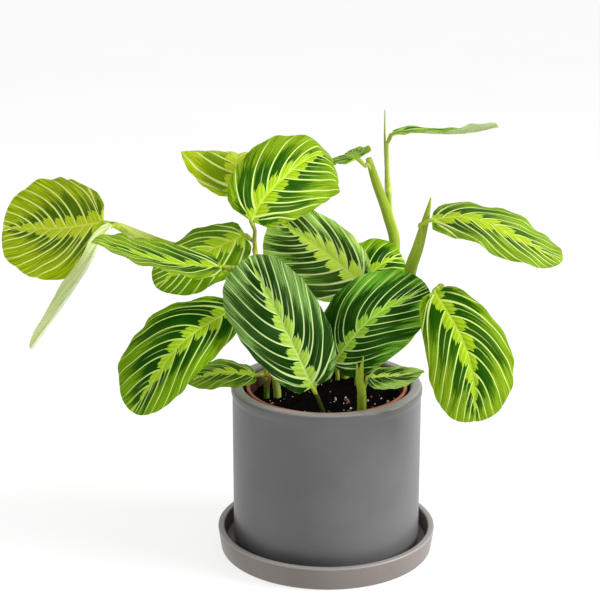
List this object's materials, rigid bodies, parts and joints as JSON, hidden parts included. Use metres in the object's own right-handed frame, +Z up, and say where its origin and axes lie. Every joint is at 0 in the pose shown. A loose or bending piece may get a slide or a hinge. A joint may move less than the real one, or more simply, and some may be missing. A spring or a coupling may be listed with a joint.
{
  "type": "potted prayer plant",
  "caption": "Prayer plant with waved, feather-patterned leaves on sheathed stems, in a round ceramic pot with an inner nursery pot and a saucer.",
  "frame": {"origin": "centre of the saucer's flat underside, where the object stands", "axes": "+Z up along the pot's axis; the front, with the largest leaves, faces -Y; +X to the right seen from the front, along the plant's widest spread"},
  "size_m": [0.4157, 0.1915, 0.326],
  "materials": {
    "pot_ceramic": "matte",
    "saucer_ceramic": "matte",
    "nursery_plastic": "satin",
    "soil": "rough",
    "leaf_green": "satin",
    "leaf_light": "satin",
    "leaf_dark": "satin",
    "leaf_pale": "satin",
    "stem_green": "satin",
    "stalk_brown": "satin"
  },
  "bodies": {
    "root": {"ceramic_pot": "pot_ceramic", "saucer": "saucer_ceramic", "nursery_pot": "nursery_plastic", "soil": "soil", "shoot_left": "stem_green", "shoot_back": "stem_green", "shoot_right": "stem_green", "shoot_small_right": "stem_green", "shoot_small_left": "stem_green", "stalk_front": "stalk_brown", "stalk_centre": "stalk_brown", "stalk_behind": "stalk_brown", "stalk_inner": "stalk_brown", "stalk_top_left": "stalk_brown", "leaf_01": "leaf_light", "leaf_02": "leaf_pale", "leaf_03": "leaf_green", "leaf_04": "leaf_light", "leaf_05": "leaf_green", "leaf_06": "leaf_green", "leaf_07": "leaf_green", "leaf_08": "leaf_light", "leaf_09": "leaf_dark", "leaf_10": "leaf_green", "leaf_11": "leaf_dark", "leaf_12": "leaf_dark", "leaf_13": "leaf_light", "leaf_14": "leaf_light", "leaf_15": "leaf_light", "leaf_16": "leaf_green", "leaf_17": "leaf_green"}
  },
  "joints": []
}
